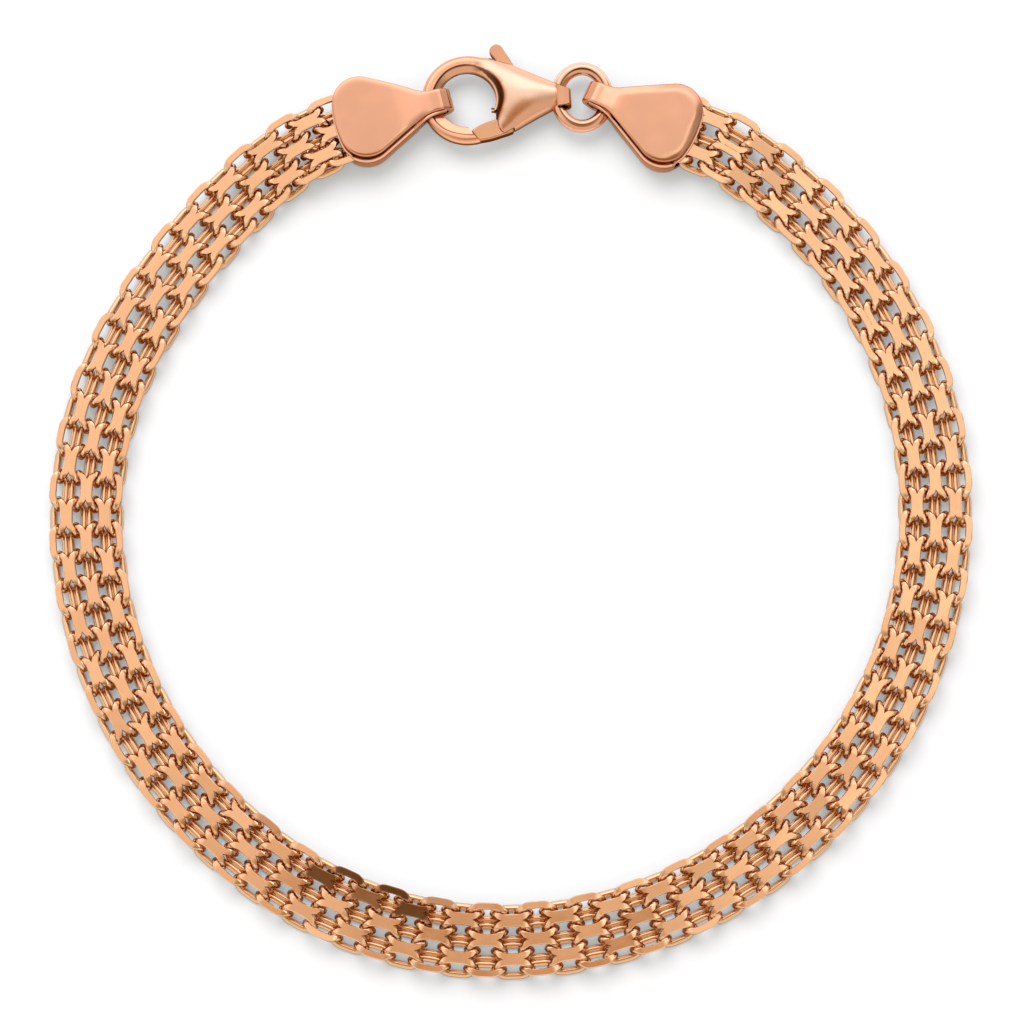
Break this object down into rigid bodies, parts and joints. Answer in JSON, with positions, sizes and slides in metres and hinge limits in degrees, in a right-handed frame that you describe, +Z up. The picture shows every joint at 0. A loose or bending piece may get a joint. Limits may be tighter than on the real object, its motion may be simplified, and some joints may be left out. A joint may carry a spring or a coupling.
{
  "type": "bismark chain bracelet",
  "caption": "Flat woven chain bracelet, a closed loop of soldered strands of links with folded end caps, a jump ring and a lobster clasp that opens with a sprung lever.",
  "frame": {"origin": "under the middle of the bounding box, on the surface the bracelet lies on", "axes": "+Z up from that surface, +Y from the loop's middle towards the clasp, +X to the right seen from above"},
  "size_m": [0.061, 0.0628, 0.0025],
  "materials": {
    "woven_gold": "polished links with flat ground tops",
    "polished_gold": "polished sheet and wire",
    "cast_gold": "polished casting"
  },
  "bodies": {
    "bracelet": {"chain": "woven_gold", "cap_left": "polished_gold", "cap_right": "polished_gold", "clasp_body": "cast_gold", "clasp_pin": "cast_gold", "jump_ring": "polished_gold"},
    "lever": {"clasp_lever": "cast_gold"}
  },
  "joints": [
    {"name": "lever_hinge", "type": "hinge", "parent": "bracelet", "child": "lever", "pos_m": [-0.00012, 0.02667, 0.00125], "axis": [0, 0, 1], "range_deg": [-25, 0], "stiffness_Nm_per_rad": 0.001}
  ]
}
